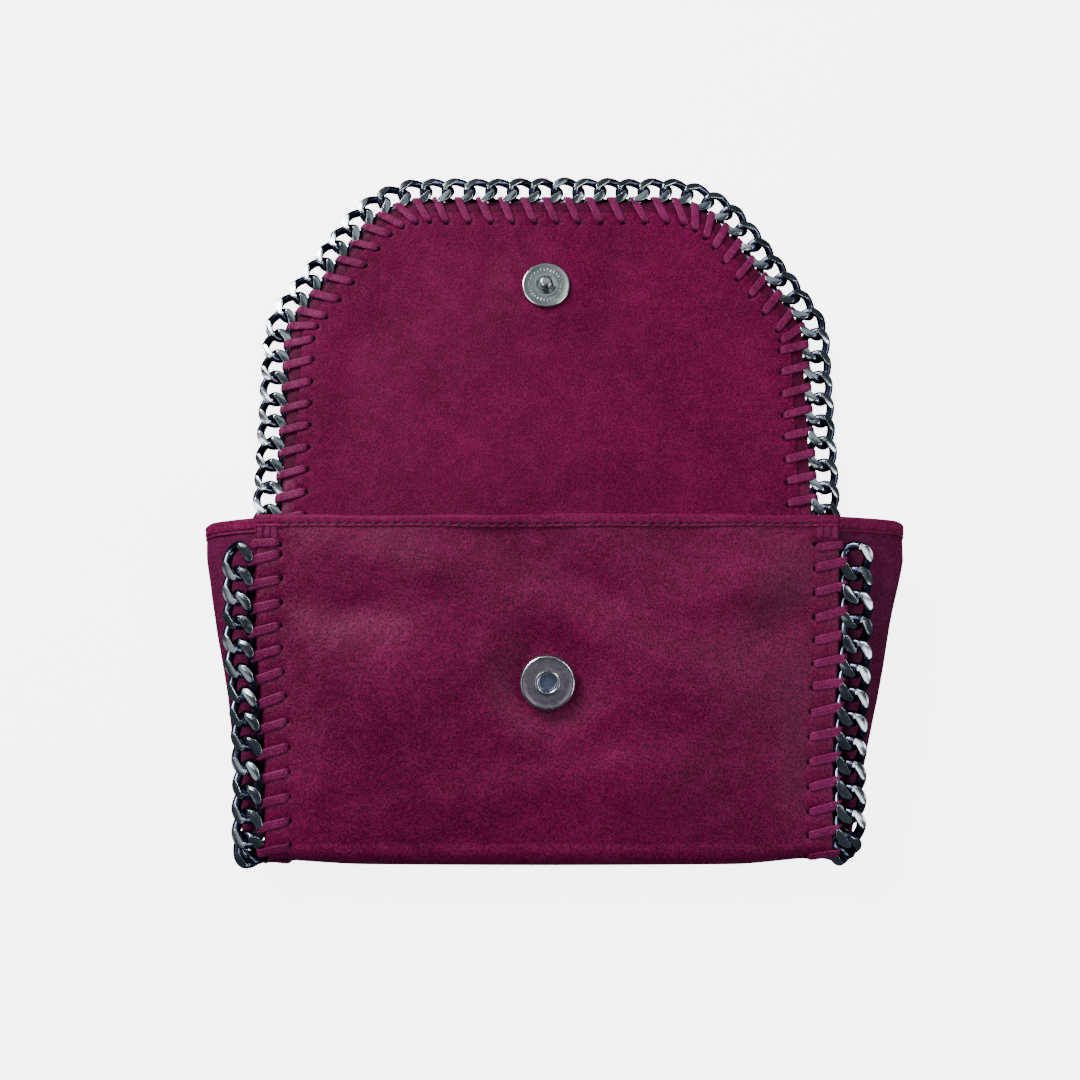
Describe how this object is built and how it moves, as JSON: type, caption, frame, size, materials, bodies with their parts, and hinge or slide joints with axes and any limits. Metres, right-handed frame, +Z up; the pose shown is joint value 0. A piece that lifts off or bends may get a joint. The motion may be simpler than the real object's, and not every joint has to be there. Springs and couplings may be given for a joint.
{
  "type": "flap wallet",
  "caption": "Small burgundy leather flap wallet with side gussets, a magnetic snap and a metal chain laced along its edges, shown with the flap open.",
  "frame": {"origin": "under the middle of the whole outline, on the surface that the wallet lies on", "axes": "+X across the wallet to its right side, +Y from the bottom fold to the tip of the open flap, +Z up from the back panel to the front panel"},
  "size_m": [0.232, 0.2564, 0.039],
  "materials": {
    "leather": "soft burgundy leather with a fine matt grain",
    "facing": "burgundy facing, matt",
    "hem": "turned and stitched edge",
    "lace": "flat lace, satin",
    "lining": "dark suede-like lining",
    "board": "plain stiffening board",
    "chain": "dark gunmetal plating with bright cut facets",
    "snap": "satin gunmetal",
    "magnet": "bare ferrite"
  },
  "bodies": {
    "pouch": {"back_panel": "leather", "bottom_panel": "leather", "back_board": "board", "back_lining": "lining", "slip_pocket": "lining", "bottom_lining": "lining", "gusset_left": "leather", "gusset_right": "leather", "gusset_hem_left": "hem", "gusset_hem_right": "hem", "chain_back_left": "chain", "chain_back_right": "chain", "chain_bottom_left": "chain", "chain_bottom_right": "chain", "lacing_back_left": "lace", "lacing_back_right": "lace", "fold_strip_bottom": "leather", "fold_strip_back": "leather"},
    "front": {"front_panel": "leather", "front_hem": "hem", "front_board": "board", "front_lining": "lining", "snap_socket_cap": "snap", "snap_magnet": "magnet", "snap_socket_base": "snap", "snap_socket_washer": "snap", "chain_front_left": "chain", "chain_front_right": "chain", "lacing_front_left": "lace", "lacing_front_right": "lace"},
    "flap_bridge": {"bridge_panel": "leather", "bridge_facing": "facing", "chain_bridge_left": "chain", "chain_bridge_right": "chain", "lacing_bridge_left": "lace", "lacing_bridge_right": "lace", "fold_strip_flap": "leather"},
    "flap": {"flap_panel": "leather", "flap_facing": "facing", "snap_stud_plate": "snap", "snap_stud": "snap", "snap_stud_washer": "snap", "chain_flap": "chain", "lacing_flap": "lace"}
  },
  "joints": [
    {"name": "mouth_hinge", "type": "hinge", "parent": "pouch", "child": "front", "pos_m": [0, -0.11872, 0.01545], "axis": [1, 0, 0], "range_deg": [-4.5, 0], "deforming": ["gusset_left", "gusset_right", "gusset_hem_left", "gusset_hem_right", "fold_strip_bottom"]},
    {"name": "flap_fold", "type": "hinge", "parent": "pouch", "child": "flap_bridge", "pos_m": [0, -0.00806, 0.00345], "axis": [1, 0, 0], "range_deg": [0, 93.75], "deforming": ["fold_strip_back"]},
    {"name": "flap_front_fold", "type": "hinge", "parent": "flap_bridge", "child": "flap", "pos_m": [0, 0.02595, 0.00345], "axis": [1, 0, 0], "range_deg": [0, 93.75], "deforming": ["fold_strip_flap"]}
  ],
  "couplings": [
    {"joint": "flap_front_fold", "follows": "flap_fold", "ratio": 1},
    {"joint": "mouth_hinge", "follows": "flap_fold", "ratio": -0.0479}
  ]
}
